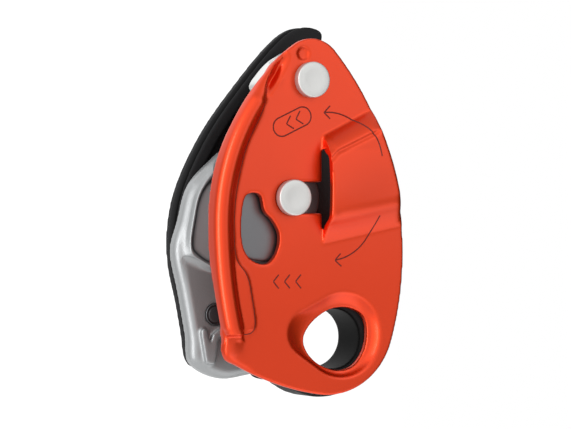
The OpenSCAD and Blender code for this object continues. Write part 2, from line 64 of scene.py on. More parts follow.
def added(name, data):
    """A new object in the scene."""
    made = bpy.data.objects.new(name, data)
    bpy.context.scene.collection.objects.link(made)
    return made


def settled(piece):
    """A piece with its modifiers turned into its mesh."""
    graph = bpy.context.evaluated_depsgraph_get()
    mesh = bpy.data.meshes.new_from_object(piece.evaluated_get(graph))
    piece.modifiers.clear()
    piece.data = mesh
    return piece


def smooth_more(piece, passes, zone=None, least=0.02):
    """Smooths a piece, all over or by weights from 0 to 1."""
    rounding = piece.modifiers.new("round_forms", "SMOOTH")
    rounding.factor = 0.5
    rounding.iterations = passes
    if zone is not None:
        piece.vertex_groups.clear()
        group = piece.vertex_groups.new(name="zone")
        for i in np.nonzero(zone > least)[0]:
            group.add([int(i)], float(zone[i]), "REPLACE")
        rounding.vertex_group = "zone"
    return settled(piece)


def softened(node, voxel, passes):
    """A welded copy of a CAD node, meshed evenly and smoothed, so that its edges are round."""
    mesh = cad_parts[node].data.copy()
    mesh.transform(Matrix.Scale(1000, 4))
    piece = added(node + "_finished", mesh)
    work = bmesh.new()
    work.from_mesh(mesh)
    bmesh.ops.remove_doubles(work, verts=work.verts, dist=0.001)
    work.to_mesh(mesh)
    work.free()
    even = piece.modifiers.new("even_mesh", "REMESH")
    even.mode = "VOXEL"
    even.voxel_size = voxel
    return smooth_more(piece, passes)


def points_of(piece):
    """A piece's points as rows of x, y, z."""
    flat = np.empty(len(piece.data.vertices) * 3)
    piece.data.vertices.foreach_get("co", flat)
    return flat.reshape(-1, 3)


def set_points(piece, rows):
    """Moves a piece's points to rows of x, y, z."""
    piece.data.vertices.foreach_set("co", rows.ravel())
    piece.data.update()


def mark(piece, name, values):
    """Keeps a value at each point of a piece for its material to read."""
    piece.data.attributes.new(name, "FLOAT", "POINT").data.foreach_set("value", values)


def smooth_loop(points, steps=5):
    """A closed smooth curve through points."""
    p = np.array(points, float)
    a, b, c, d = np.roll(p, 1, 0), p, np.roll(p, -1, 0), np.roll(p, -2, 0)
    rows = []
    for k in range(steps):
        t = k / steps
        rows.append(0.5 * (2 * b + (c - a) * t + (2 * a - 5 * b + 4 * c - d) * t ** 2
                           + (3 * b - a - 3 * c + d) * t ** 3))
    return np.stack(rows, 1).reshape(-1, 2)


def inside_by(where, outline, batch=20000):
    """How far points lie inside a closed outline; negative outside it."""
    a, b = outline, np.roll(outline, -1, 0)
    step = b - a
    found = np.empty(len(where))
    for i in range(0, len(where), batch):
        p = where[i:i + batch, None, :]
        t = np.clip(((p - a) * step).sum(2) / (step ** 2).sum(1), 0, 1)
        away = np.linalg.norm(p - a - t[..., None] * step, axis=2).min(1)
        crosses = ((a[:, 1] > p[..., 1]) != (b[:, 1] > p[..., 1])) & (
            p[..., 0] < a[:, 0] + step[:, 0] * (p[..., 1] - a[:, 1])
            / np.where(step[:, 1] == 0, 1e-9, step[:, 1]))
        found[i:i + batch] = np.where(crosses.sum(1) % 2 == 1, away, -away)
    return found


def ramp(values, low, high):
    """Rises smoothly from 0 at low to 1 at high."""
    t = np.clip((values - low) / (high - low), 0, 1)
    return t * t * (3 - 2 * t)


fixed_plate = softened("fixed_side_plate", voxel=0.36, passes=3)
# its face turns back in a forged round along the outline
rows = points_of(fixed_plate)
deep = np.clip(inside_by(rows[:, [0, 2]], smooth_loop(FIXED_EDGE)), 0, FORGED_ROUND)
drop = FORGED_ROUND - np.sqrt(FORGED_ROUND ** 2 - (FORGED_ROUND - deep) ** 2)
near = rows[:, 1] > FIXED_FACE - FACE_PLAY
rows[near, 1] = np.maximum(rows[near, 1], FIXED_FACE + drop[near])
set_points(fixed_plate, rows)
fixed_plate = smooth_more(fixed_plate, passes=3)
# the sunk panel reaches further left, and the pad's lower edge lies higher, in a soft flank
rows = points_of(fixed_plate)
x, y, z = rows.T
well = inside_by(rows[:, [0, 2]], smooth_loop(PAD_WELL))
on_pad = y < PAD_BACK
x -= PANEL_EDGE_OUT * np.exp(-(well / 2) ** 2) * on_pad * ramp(-x, 27, 32)
z += (PAD_EDGE_LIFT * np.clip(-well, 0, 4.5) * ramp(-well, 0.3, 1.5) * ramp(well, -9, -5)
      * ramp(-z, -23, -20) * (y < 7))
set_points(fixed_plate, rows)
pad_flank = (ramp(-well, 0.9, 1.6) * ramp(well, -5.5, -4.5) * ramp(-x, 26, 28) * ramp(z, 18, 23)
             * (y < 7.5))
fixed_plate = smooth_more(fixed_plate, passes=14, zone=pad_flank)
# places where the material paints light and shade: painted light in the sunk panel, a painted shade
# line round it, and painted shade on the face where the rope runs behind the tunnel's mouth
rows = points_of(fixed_plate)
x, y, z = rows.T
mark(fixed_plate, "panel", np.clip(0.5 + well, 0, 1) * on_pad)
mark(fixed_plate, "painted_border_shade", np.exp(-((well - 0.1) / 0.45) ** 2) * on_pad)
mark(fixed_plate, "painted_channel_shade", ramp(x, -12, -1) * ramp(z, 14, 29) * ramp(-z, -66, -52) * (y < 7)
     * ramp(inside_by(rows[:, [0, 2]], smooth_loop(FIXED_EDGE)), 1, 5))


def linear(code):
    """A six-figure sRGB colour as linear red, green, blue and alpha."""
    parts = [int(code[i:i + 2], 16) / 255 for i in (0, 2, 4)]
    return [c / 12.92 if c <= 0.04045 else ((c + 0.055) / 1.055) ** 2.4 for c in parts] + [1]


def put(tree, kind, sockets=None, links=None, **settings):
    """Adds a node to a material, with its settings, its socket values and its links."""
    made = tree.nodes.new(kind)
    for name, value in settings.items():
        setattr(made, name, value)
    for name, value in (sockets or {}).items():
        made.inputs[name].default_value = value
    for name, source in (links or {}).items():
        tree.links.new(source, made.inputs[name])
    return made


def new_surface(name, colour, metallic, roughness):
    """A material with its main values on the shader's own sockets."""
    material = bpy.data.materials.new(name)
    material.use_nodes = True
    shader = material.node_tree.nodes["Principled BSDF"]
    shader.inputs["Base Color"].default_value = linear(colour)
    shader.inputs["Metallic"].default_value = metallic
    shader.inputs["Roughness"].default_value = roughness
    return material, material.node_tree, shader


# Clear anodised forged aluminium: an even grey in clouds of 12 mm, with a fine blasted grain that
# breaks up reflections; grit marks of 0.2 mm are drawn at 0.35 mm so that they show. Painted light
# makes the sunk panel lighter, a painted shade line runs round it, and painted shade is black where
# the rope runs.
grey_aluminium, tree, shader = new_surface("clear_anodised_forged_aluminium", "9A9C9D", 0.57, 0.41)
place_in = put(tree, "ShaderNodeTexCoord").outputs["Object"]
grit = put(tree, "ShaderNodeTexNoise", {"Scale": 1 / 0.00035, "Detail": 2}, {"Vector": place_in})
cloud = put(tree, "ShaderNodeTexNoise", {"Scale": 1 / 0.012, "Detail": 3}, {"Vector": place_in})
tone = put(tree, "ShaderNodeValToRGB", None, {"Fac": cloud.outputs["Fac"]})
tone.color_ramp.elements[0].color = linear("8E9091")
tone.color_ramp.elements[1].color = linear("9A9C9D")
tint = tone.outputs["Color"]
# painted light in the panel, painted shade on the line round it and where the rope runs
for name, colour in (("panel", "ACAEAF"), ("painted_border_shade", "3C3D3E"), ("painted_channel_shade", "1A1A1B")):
    where = put(tree, "ShaderNodeAttribute", attribute_name=name)
    tint = put(tree, "ShaderNodeMix", {"B": linear(colour)},
               {"Factor": where.outputs["Fac"], "A": tint}, data_type="RGBA").outputs["Result"]
tree.links.new(tint, shader.inputs["Base Color"])
bump = put(tree, "ShaderNodeBump", {"Strength": 0.35, "Distance": 0.0001},
           {"Height": grit.outputs["Fac"]})
tree.links.new(bump.outputs["Normal"], shader.inputs["Normal"])


def place(piece, material, body, slot, *nodes):
    """Sets a piece in metres, gives it its material and joins it to the frame."""
    piece.data.transform(Matrix.Scale(0.001, 4))
    piece.data.shade_smooth()
    piece.data.materials.clear()
    piece.data.materials.append(material)
    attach(piece, body)
    if nodes:
        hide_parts(*nodes)


place(fixed_plate, grey_aluminium, "frame", "grey_aluminium", "fixed_side_plate")

# Stop pin: turned from blackened steel and riveted in the fixed plate. Its head has a groove round
# a flat middle, and its post behind the plate stops the release arm.
STOP_POST = (-29.7, 6.6)
STOP_PROFILE = [
    (0, 6.62), (2.0, 6.62), (2.15, 6.9), (2.55, 6.9), (2.65, 6.5), (2.85, 6.5), (3.0, 6.7),
    (3.0, 9.3), (2.6, 9.3), (2.6, 13.4), (2.2, 13.9), (0, 13.9)]


def spun(name, centre, profile, rounding, steps=72, sharp_from=0.5):
    """A piece turned about an axis along Y from a profile of radius and y, its edges broken."""
    work = bmesh.new()
    line = [work.verts.new((r, y, 0)) for r, y in profile]
    edges = [work.edges.new(pair) for pair in zip(line, line[1:])]
    bmesh.ops.spin(work, geom=line + edges, cent=(0, 0, 0), axis=(0, 1, 0), angle=2 * math.pi,
                   steps=steps, use_merge=True)
    bmesh.ops.remove_doubles(work, verts=work.verts, dist=0.0005)
    bmesh.ops.recalc_face_normals(work, faces=work.faces)
    sharp = [e for e in work.edges
             if len(e.link_faces) == 2 and e.calc_face_angle() > sharp_from]
    bmesh.ops.bevel(work, geom=sharp, offset=rounding, segments=2, profile=0.5,
                    affect="EDGES", material=-1, clamp_overlap=True)
    bmesh.ops.translate(work, verts=work.verts, vec=(centre[0], 0, centre[1]))
    mesh = bpy.data.meshes.new(name)
    work.to_mesh(mesh)
    work.free()
    return added(name, mesh)


stop_pin = spun("stop_pin", STOP_POST, STOP_PROFILE, rounding=0.06)
# Blackened steel: dark grey with a dull oxide, slightly uneven in patches of 0.8 mm.
dark_steel, tree, shader = new_surface("blackened_steel", "4E4E50", 0.7, 0.42)
oxide = put(tree, "ShaderNodeTexNoise", {"Scale": 1 / 0.0008, "Detail": 3},
            {"Vector": put(tree, "ShaderNodeTexCoord").outputs["Object"]})
dull = put(tree, "ShaderNodeMapRange", {"To Min": 0.34, "To Max": 0.5},
           {"Value": oxide.outputs["Fac"]})
tree.links.new(dull.outputs["Result"], shader.inputs["Roughness"])
place(stop_pin, dark_steel, "frame", "dark_steel", "cam_stop_pin")

# Attachment spacer: black nylon moulding that fills the gap round the attachment hole and lines
# the fixed plate's hole, held by three steel rivets.
LOW_EDGE_LIFT = 0.9
LEFT_CORNER_LIFT = 1.7
spacer = softened("attachment_spacer", voxel=0.45, passes=4)
rows = points_of(spacer)
x, y, z = rows.T
z += LOW_EDGE_LIFT * ramp(-x, 5, 14) * ramp(-z, 5.5, 8.5)
z += LEFT_CORNER_LIFT * np.clip((-9.5 - x) / 6, 0, 1) ** 1.5 * (z < -8) * (y > -2.6)
set_points(spacer, rows)
spacer = smooth_more(spacer, passes=4)
x, y, z = points_of(spacer).T
# painted shade marks the bore of the attachment hole, to be painted black
mark(spacer, "painted_recess_shade", ramp(-np.hypot(x, z), -8.7, -8.2))
# Moulded black nylon: dark grey in the light, with painted shade making it black in bores and
# grooves, with the fine grain of a spark-eroded mould; grain of 0.3 mm is drawn at 0.4 mm so that
# it shows.
nylon, tree, shader = new_surface("moulded_black_nylon", "0A0A0B", 0.0, 0.56)
shader.inputs["Specular IOR Level"].default_value = 0.08
place_in = put(tree, "ShaderNodeTexCoord").outputs["Object"]
grain = put(tree, "ShaderNodeTexNoise", {"Scale": 1 / 0.0004, "Detail": 3}, {"Vector": place_in})
shine = put(tree, "ShaderNodeMapRange", {"To Min": 0.5, "To Max": 0.64},
            {"Value": grain.outputs["Fac"]})
tree.links.new(shine.outputs["Result"], shader.inputs["Roughness"])
bump = put(tree, "ShaderNodeBump", {"Strength": 0.15, "Distance": 0.00004},
           {"Height": grain.outputs["Fac"]})
tree.links.new(bump.outputs["Normal"], shader.inputs["Normal"])
# painted shade: black where the mark for bores and grooves is set
hidden = put(tree, "ShaderNodeAttribute", attribute_name="painted_recess_shade").outputs["Fac"]
black = put(tree, "ShaderNodeMix", {"A": linear("1E1E1F"), "B": linear("020202")},
            {"Factor": hidden}, data_type="RGBA")
tree.links.new(black.outputs["Result"], shader.inputs["Base Color"])
place(spacer, nylon, "frame", "nylon", "attachment_spacer")

# Friction plate: bent stainless steel wear plate at the top, which the brake rope is pinched
# against; polished by the rope. Two rivets hold it, and the sleeve of the side plate axle passes
# it. The rivets, the sleeve and the plain washers keep their CAD shapes.
friction = softened("friction_plate", voxel=0.35, passes=6)
# Turned and polished stainless steel: bright, with fine lines of 0.15 mm that are drawn 0.6 mm
# wide and 4 mm long so that they show.
steel, tree, shader = new_surface("stainless_steel", "D6D6D4", 1.0, 0.3)
along = put(tree, "ShaderNodeMapping", {"Scale": (1, 0.15, 1)},
            {"Vector": put(tree, "ShaderNodeTexCoord").outputs["Object"]})
lines = put(tree, "ShaderNodeTexNoise", {"Scale": 1 / 0.0006, "Detail": 3},
            {"Vector": along.outputs["Vector"]})
gloss = put(tree, "ShaderNodeMapRange", {"To Min": 0.24, "To Max": 0.38},
            {"Value": lines.outputs["Fac"]})
tree.links.new(gloss.outputs["Result"], shader.inputs["Roughness"])
place(friction, steel, "frame", "steel", "friction_plate")
for name in ("friction_plate_rivets", "spacer_rivets", "pivot_sleeve", "axle_washer", "arm_washer"):
    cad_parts[name].data.materials[0] = steel
for name in ("pivot_washer", "cam_thrust_ring"):
    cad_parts[name].data.materials[0] = nylon

# Cam: investment-cast stainless steel, tumbled to a satin. It turns on the cam axle in a bronze
# bush and shows in the swinging plate's window and slot. The release arm is cast in the same way.
CAM_AXLE = (-15.05, 37.75)
FLANGE_R = 9.4
FLANGE_KEPT = 0.25
cam = softened("cam", voxel=0.4, passes=4)
# the flange is drawn in on its right side
rows = points_of(cam)
out = rows[:, [0, 2]] - CAM_AXLE
far = np.linalg.norm(out, axis=1)
side = np.abs(np.degrees(np.arctan2(out[:, 1], out[:, 0])) - 5)
drawn_in = (FLANGE_R + FLANGE_KEPT * (far - FLANGE_R)) / np.maximum(far, 1)
pull = np.where((side < 80) & (far > FLANGE_R), drawn_in, 1)
rows[:, [0, 2]] = CAM_AXLE + out * pull[:, None]
set_points(cam, rows)
cam = smooth_more(cam, passes=3)
# Satin cast steel: mid grey with soft reflections and faint cloudy tumbling marks of 0.5 mm.
cam_steel, tree, shader = new_surface("tumbled_cast_stainless_steel", "747476", 1.0, 0.4)
place_in = put(tree, "ShaderNodeTexCoord").outputs["Object"]
dents = put(tree, "ShaderNodeTexNoise", {"Scale": 1 / 0.0005, "Detail": 4}, {"Vector": place_in})
satin = put(tree, "ShaderNodeMapRange", {"To Min": 0.34, "To Max": 0.5},
            {"Value": dents.outputs["Fac"]})
tree.links.new(satin.outputs["Result"], shader.inputs["Roughness"])
bump = put(tree, "ShaderNodeBump", {"Strength": 0.12, "Distance": 0.00004},
           {"Height": dents.outputs["Fac"]})
tree.links.new(bump.outputs["Normal"], shader.inputs["Normal"])
place(cam, cam_steel, "cam", "cam_steel", "cam")
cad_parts["release_arm"].data.materials[0] = cam_steel

# Bushes: plain bearing rings, pressed from bronze powder and sintered. One is pressed into the cam
# and turns on its axle, the other into the handle's hub, where it turns on the hinge pin.
# Sintered bronze: brown-gold, dulled by open pores; pores of 0.1 mm are drawn at 0.3 mm.
bronze, tree, shader = new_surface("sintered_bronze", "B08A4A", 1.0, 0.4)
pores = put(tree, "ShaderNodeTexNoise", {"Scale": 1 / 0.0003, "Detail": 2},
            {"Vector": put(tree, "ShaderNodeTexCoord").outputs["Object"]})
bump = put(tree, "ShaderNodeBump", {"Strength": 0.25, "Distance": 0.00005},
           {"Height": pores.outputs["Fac"]})
tree.links.new(bump.outputs["Normal"], shader.inputs["Normal"])
for name in ("cam_bush", "hinge_bush"):
    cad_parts[name].data.materials[0] = bronze

# Springs: torsion springs of drawn steel wire, one round the cam's journal in its seat on the
# fixed plate's back, one round the handle's hinge bush.
HINGE = (-31, 16)
SPRING_SEAT = 8.7
LEG_TURN = math.radians(-64)


def coil(centre, radius, y, pitch, start, end, step=7.5):
    """Points of a wound wire, one at every step in degrees."""
    turns = np.radians(np.arange(start, end + 0.1, step))
    return [(centre[0] + radius * math.cos(a), y + pitch * (a - turns[0]) / (2 * math.pi),
             centre[1] + radius * math.sin(a)) for a in turns]


def wire(name, lines, radius):
    """Round wires through lines of points, as one mesh."""
    curve = bpy.data.curves.new(name, "CURVE")
    curve.dimensions = "3D"
    curve.bevel_depth = radius
    curve.bevel_resolution = 4
    curve.use_fill_caps = True
    for points in lines:
        spline = curve.splines.new("POLY")
        spline.points.add(len(points) - 1)
        for point, at in zip(spline.points, points):
            point.co = (*at, 1)
    path = added(name + "_line", curve)
    graph = bpy.context.evaluated_depsgraph_get()
    piece = added(name, bpy.data.meshes.new_from_object(path.evaluated_get(graph)))
    bpy.data.objects.remove(path)
    return piece


leg = [(CAM_AXLE[0] + r * math.cos(LEG_TURN), SPRING_SEAT, CAM_AXLE[1] + r * math.sin(LEG_TURN))
       for r in (10.4, 9.3)]
winding = coil(CAM_AXLE, radius=8.2, y=SPRING_SEAT, pitch=1.4, start=-60, end=560)
cam_spring = wire("cam_spring_wire", [leg + winding], radius=0.45)
winding = coil(HINGE, radius=5.0, y=14.9, pitch=1.3, start=0, end=500)
handle_spring = wire("handle_spring_wire", [winding], radius=0.4)
# Drawn spring wire: bright steel, its shine broken by faint die marks of 0.4 mm.
spring_steel, tree, shader = new_surface("drawn_spring_wire", "A8A8AC", 1.0, 0.28)
die = put(tree, "ShaderNodeTexNoise", {"Scale": 1 / 0.0004, "Detail": 2},
          {"Vector": put(tree, "ShaderNodeTexCoord").outputs["Object"]})
bright = put(tree, "ShaderNodeMapRange", {"To Min": 0.22, "To Max": 0.36},
             {"Value": die.outputs["Fac"]})
tree.links.new(bright.outputs["Result"], shader.inputs["Roughness"])
place(cam_spring, spring_steel, "frame", "spring_steel", "cam_spring")
place(handle_spring, spring_steel, "cam", "spring_steel", "handle_spring")

# Release handle: glass-filled black nylon lever with a bead round its edge, folded along the left
# side and hooked over the top. It turns on the hinge pin of the release arm.
HANDLE_EDGE = [
    (4.6, 83.6), (-1.8, 84.3), (-8.7, 79.9), (-18.7, 68.8), (-28.7, 55.8), (-36, 42),
    (-38.8, 31.3), (-38.9, 20.5), (-36.5, 9.5), (-34.9, 1), (-33.9, -5.4), (-31.2, -8),
    (-28.6, -4.5), (-27, 4.5), (-24.4, 11.5), (-24.2, 19), (-26.4, 28), (-25.6, 38),
    (-21.5, 48.5), (-13.5, 60.5), (-5, 71), (4.2, 79.6)]
GROOVE_DEPTH = 0.9
POST_CLEAR = 6.4
POST_BACK = 14.15
handle = softened("handle_body", voxel=0.42, passes=9)
rows = points_of(handle)
x, y, z = rows.T
# a groove runs along its side behind the bead
facing = np.empty(len(rows) * 3)
handle.data.vertices.foreach_get("normal", facing)
deep = (y - y.min()) / np.ptp(y)
rim = inside_by(rows[:, [0, 2]], smooth_loop(HANDLE_EDGE)) < 0.7
groove = ramp(deep, 0.1, 0.16) * ramp(-deep, -0.6, -0.5) * rim
rows -= GROOVE_DEPTH * groove[:, None] * facing.reshape(-1, 3) * (1, 0, 1)
# the stop pin's post passes its cut-away front as it unfolds
aside, up = x - HINGE[0], z - HINGE[1]
swing = np.hypot(aside, up)
passed = (swing > POST_CLEAR) & (aside < -0.86 * swing) & (y < POST_BACK)
x[passed] = HINGE[0] + (aside * POST_CLEAR / swing)[passed]
z[passed] = HINGE[1] + (up * POST_CLEAR / swing)[passed]
set_points(handle, rows)
# the groove is marked for painted shade, black in the material
mark(handle, "painted_recess_shade", groove)
place(handle, nylon, "handle", "nylon", "handle_body")
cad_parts["handle_hinge_pin"].data.materials[0] = steel

# Swinging side plate: one pressed sheet of aluminium, 2.2 mm thick, with a rolled lip for the
# brake rope, a lanced tunnel over the cam axle's path and a dished rim round its eye. Satin
# blasted and dyed orange-red in anodising.
# y of the flat front, and of a place well ahead of it
FRONT = -9
RAY_START = -30
TUNNEL_RISE = 5.2
TUNNEL_LEFT = -6.4
FOLD_DEPTH = 0.5
ROOF_ARCH = 0.9
# the right edge is read from EDGE_LOW up, in steps, and averaged over EDGE_BLUR of them
EDGE_LOW = -40
EDGE_STEP = 0.4
EDGE_STEPS = 400
EDGE_BLUR = 9
DISH_DEPTH = 1.9
POCKET_DEPTH = 2.0
# the lip follows two arcs that meet at the height of its centre
LIP_CENTRE = (18.6, 31.2)
LIP_WALL = 52.45
LOW_LIP_X = 85.35
LOW_LIP_WALL = 119.2
LIP_FOOT = 1.4
LIP_SLOPE = 1.62
LIP_END_LIFT = 1.2
LIP_FOOT_IN = 0.7
HEEL_OUT = 0.9


def arc(centre, radius, start, end):
    """Points of an arc, from one angle in degrees to another."""
    return [(centre[0] + radius * math.cos(a), centre[1] + radius * math.sin(a))
            for a in np.radians(np.linspace(start, end, 40))]


def front_of(surface, x, z):
    """Where a line from the front first meets a surface."""
    return surface.ray_cast(Vector((x, RAY_START, z)), Vector((0, 1, 0)))[0]


side_plate = softened("moving_side_plate", voxel=0.34, passes=6)
rows = points_of(side_plate)
# x, y and z are views of the rows, so each form below starts from the ones before it
x, y, z = rows.T
# the tunnel's upper flank bulges out below its crease and ends in a shallow fold
pressed = BVHTree.FromObject(side_plate, bpy.context.evaluated_depsgraph_get())
crease = 54.1 + 0.485 * (x + 6.2)
fold = 49.8 + 0.45 * (x + 3.9) - 1.1 * ramp(-x, 3.4, 6)
down = (crease - z) / (crease - fold)
bulge = (TUNNEL_RISE * (1 - (1 - np.clip(down / 1.15, 0, 1)) ** 2)
         - FOLD_DEPTH * np.exp(-((down - 1) / 0.1) ** 2))
# the bulge dies out at the plate's right edge
right_edge = np.full(EDGE_STEPS, -99.0)
step = np.clip(((z - EDGE_LOW) / EDGE_STEP).astype(int), 0, EDGE_STEPS - 1)
np.maximum.at(right_edge, step, x)
right_edge = np.convolve(np.pad(right_edge, EDGE_BLUR // 2, "edge"),
                         np.ones(EDGE_BLUR) / EDGE_BLUR, "valid")
bulge = FRONT - y + (bulge - FRONT + y) * ramp(right_edge[step] - x, 0.6, 3.6)
for i in np.nonzero((x > -5.9) & (down > 0) & (down < 1.5) & (y < -8.7))[0]:
    hit = front_of(pressed, x[i], z[i])
    if hit and abs(hit.y - y[i]) < 0.3:
        y[i] = FRONT - bulge[i]
# its lower flank is steep below the ridge and runs out flat
ridge = 31.2 + 0.195 * (x + 5.8)
rise = np.clip((FRONT - y) / TUNNEL_RISE, 0, 1)
flank = ramp(ridge - z, -0.6, 1.2) * (x > TUNNEL_LEFT)
y += np.where(y < FRONT, flank * TUNNEL_RISE * (rise - rise ** 1.25), 0)
# its roof is arched at the mouth
arch = np.clip(1 - ((z - 39.6) / 11) ** 2, 0, 1)
y -= ROOF_ARCH * arch * ramp(-x, -19, 5.8) * ramp(-y, 10, 11.5) * (x > TUNNEL_LEFT)
# the dish drops steeply at its edge and is flatter round the eye
dish = np.array(arc((0.3, 1.1), 11.4, -124.6, 115.8) + arc((-10.2, 1.9), 6.1, 115.8, 235.4))
sunk = np.clip((y - FRONT) / DISH_DEPTH, 0, 1)
dished = (inside_by(rows[:, [0, 2]], dish) > -0.3) & (y < FRONT + DISH_DEPTH)
leftward = 0.1 * ramp(-x, 3, 11)
scoop = (DISH_DEPTH + leftward) * (1 - (1 - sunk) ** (1.6 - leftward))
y += np.where(dished, scoop - DISH_DEPTH * sunk, 0)
# a pocket runs up beside the lip's tail
reach = np.hypot(x - LIP_CENTRE[0], z - LIP_CENTRE[1])
turn = np.degrees(np.arctan2(z - LIP_CENTRE[1], x - LIP_CENTRE[0]))
across = reach - 53.6 - (139 - turn) * 0.25
pocket = np.clip(1 - (across / np.where(across > 0, 2.1, 1)) ** 2, 0, 1)
pocket *= np.clip(1 - ((turn - 134.6) / 7) ** 2, 0, 1)
y += np.where(y < -8.3, POCKET_DEPTH * pocket, 0)
# the lip's inner side slopes down to the strip beside it, and its lower end lies higher
upper = z > LIP_CENTRE[1]
off = np.hypot(x - np.where(upper, LIP_CENTRE[0], LOW_LIP_X), z - LIP_CENTRE[1])
wall = off - np.where(upper, LIP_WALL, LOW_LIP_WALL)
on_lip = (x < -18) * ramp(z, 0.6, 1.4)
foot = LIP_FOOT * np.where(upper, ramp(turn, 140, 152), ramp(z, 0.6, 4))
slope = np.minimum(FRONT - LIP_SLOPE * (wall + foot), y)
y += np.where((y < -8.6) & (wall > -foot) & (wall < 0.45), on_lip * (slope - y), 0)
z += LIP_END_LIFT * ramp(-z, -4, -0.8) * ramp(z, -4, -1) * ramp(-y, 9, 9.3) * (x < -26)
# the heel below the lip swells out, and the lip's foot is rounder at its ends
below = (z < 0.2) * (x < -25) * (y < FRONT)
y[:] = np.where(
    below, FRONT + (y - FRONT) * ramp(-x, 28.4, 32.6) * ramp(z, -5.5, -2.5), y)
x -= HEEL_OUT * ramp(-z, -1, 2.5) * ramp(z, -6.8, -4.5) * ramp(-x, 29, 33)
ends = ramp(z, 2, 5) * ramp(-z, -24, -7) + ramp(z, 46, 63) * ramp(-z, -73, -70)
x += LIP_FOOT_IN * ends * ramp(y, -8.6, -7) * ramp(reach, 53, 55.5) * (x < -18)
set_points(side_plate, rows)
# the pressed forms run into each other softly: tail and heel, heel, the strip's lower corner, the
# lip's slope, the tunnel's low ridge, and last the whole plate
tail = ramp(turn, 127, 130) * ramp(-turn, -158, -146) * ramp(reach, 49, 51.5) * (x < -14)
heel = ramp(-z, 0.6, 1.4) * ramp(-x, 25, 27) * ramp(z, -9, -7)
corner = (ramp(z, -3, -2) * ramp(-z, -3.6, -2.6) * ramp(wall, -3, -2.2)
          * ramp(-wall, -1.4, -0.6) * (y < -8.6) * (x < -24))
beside = on_lip * ramp(wall, -2.8, -2.2) * ramp(-wall, -1.6, -1) * (y < -8.6)
over = z - ridge
low_ridge = ramp(over, -7, -5) * ramp(-over, -4, -2) * ramp(x, -5, -3) * (y < -9.5)
for passes, zone in ((24, np.maximum(tail * 0.9, heel * 0.8) * (y < -7.6)),
                     (50, heel * (y < -7.6)), (14, corner), (4, beside), (60, low_ridge),
                     (2, None)):
    side_plate = smooth_more(side_plate, passes, zone)
# Dyed anodised aluminium: a deep orange-red, even in clouds of 20 mm, whose reflections keep the
# dye's colour, under a smoother clear oxide coat that gives pale highlights. Satin blasted; grit
# marks of 0.15 mm are drawn at 0.3 mm.
orange, tree, shader = new_surface("orange_anodised_aluminium", "D83C10", 1.0, 0.46)
shader.inputs["Specular Tint"].default_value = linear("F0B8A8")
shader.inputs["Coat Weight"].default_value = 0.5
shader.inputs["Coat Roughness"].default_value = 0.24
place_in = put(tree, "ShaderNodeTexCoord").outputs["Object"]
grit = put(tree, "ShaderNodeTexNoise", {"Scale": 1 / 0.0003, "Detail": 2}, {"Vector": place_in})
cloud = put(tree, "ShaderNodeTexNoise", {"Scale": 1 / 0.02, "Detail": 3}, {"Vector": place_in})
dye = put(tree, "ShaderNodeValToRGB", None, {"Fac": cloud.outputs["Fac"]})
dye.color_ramp.elements[0].color = linear("D43A0E")
dye.color_ramp.elements[1].color = linear("DC3E12")
tree.links.new(dye.outputs["Color"], shader.inputs["Base Color"])
bump = put(tree, "ShaderNodeBump", {"Strength": 0.1, "Distance": 0.00003},
           {"Height": grit.outputs["Fac"]})
tree.links.new(bump.outputs["Normal"], shader.inputs["Normal"])
# the finished surface is kept in millimetres for the lines that are laid on it
finished = BVHTree.FromObject(side_plate, bpy.context.evaluated_depsgraph_get())
place(side_plate, orange, "side_plate", "orange_aluminium", "moving_side_plate")

# Lines on the swinging plate: a painted shadow line along the step at the raised strip's edge, and
# marks burnt in by laser: a rope path of two arcs with arrow heads, a capsule with two ticks and
# three chevrons. They are 0.3 to 0.4 mm wide.
STRIP_LINE = [
    (-24, 70), (-23.3, 66.4), (-23.1, 62.2), (-24.6, 58.9), (-28.4, 51.2), (-31, 41), (-32.1, 30),
    (-31.4, 21.9), (-28.5, 17.6), (-27.1, 13), (-26, 5), (-26.8, 2.4), (-29.4, 1.8), (-32, 1.8)]
LINE_STEP = 0.4
LINE_SINK = 0.06


def laid(line):
    """A line of x and z laid on the plate's front, with a point at every step."""
    p = np.array(line, float)
    run = np.concatenate(([0], np.cumsum(np.linalg.norm(np.diff(p, axis=0), axis=1))))
    stops = np.linspace(0, run[-1], max(3, int(run[-1] / LINE_STEP)))
    found = []
    for x, z in zip(np.interp(stops, run, p[:, 0]), np.interp(stops, run, p[:, 1])):
        hit = front_of(finished, x, z)
        if hit:
            found.append((x, hit.y + LINE_SINK, z))
    return found


chevrons = [[(at + 1.6, 17.4), (at, 15.6), (at + 1.6, 13.8)] for at in (-20.5, -17.2, -13.9)]
capsule = arc((-18, 56.4), 2.5, 115, 295) + arc((-11.8, 59.3), 2.5, -65, 115) + [(-19.06, 58.67)]
ticks = [[(-15.4, 59.4), (-16.6, 57.2), (-14.4, 56.0)],
         [(-12.6, 60.7), (-13.8, 58.5), (-11.6, 57.3)]]
upper_path = [arc((-4, 47), 13.5, 96, 8), [(-3.6, 62.2), (-5.4, 60.4), (-3.6, 58.8)]]
lower_path = [arc((-4, 35), 14, -8, -82), [(-0.4, 22.9), (-2.1, 21.1), (-0.2, 19.5)]]
# the ends of the closed curve through the strip's points are left off
strip_line = smooth_loop(STRIP_LINE, steps=8)[8:-15]
# a painted shadow line along the step at the strip's edge
edge_line = wire("strip_edge_shadow_line", [laid(strip_line)], radius=0.14)
engraved = wire("engraved_lines", [laid(line) for line in [
    capsule, *upper_path, *lower_path, *chevrons, *ticks]], radius=0.2)
